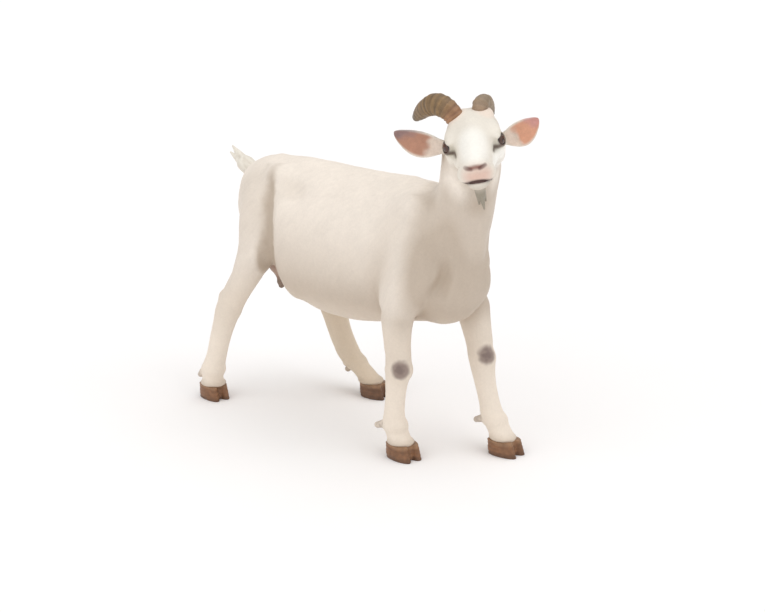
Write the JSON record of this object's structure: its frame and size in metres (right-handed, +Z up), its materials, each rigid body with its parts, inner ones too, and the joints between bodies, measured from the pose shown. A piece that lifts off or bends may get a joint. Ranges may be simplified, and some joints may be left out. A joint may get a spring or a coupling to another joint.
{
  "type": "goat figurine",
  "caption": "Standing moulded goat figurine with its head turned aside, swept-back horns and cloven hooves; it stands freely on its soles.",
  "frame": {"origin": "on the floor under the middle of the figurine's bounding box", "axes": "+X towards the goat's front, +Y towards its left, +Z up"},
  "size_m": [0.0952, 0.0348, 0.0841],
  "materials": {
    "coat": "hand-painted matt cream white with a warm grey wash in the hollows",
    "ear": "cream back and a matt pinkish brown inside",
    "udder": "matt greyish pink",
    "horn": "satin brown with an olive tinge and greyer tips",
    "hoof": "satin brown",
    "eye": "gloss dark brown"
  },
  "bodies": {
    "root": {"trunk": "coat", "head": "coat", "leg_front_right": "coat", "leg_front_left": "coat", "leg_hind_right": "coat", "leg_hind_left": "coat", "tail": "coat", "ear_right": "ear", "ear_left": "ear", "udder": "udder", "horn_right": "horn", "horn_left": "horn", "hoof_front_right": "hoof", "hoof_front_left": "hoof", "hoof_hind_right": "hoof", "hoof_hind_left": "hoof"}
  },
  "joints": []
}
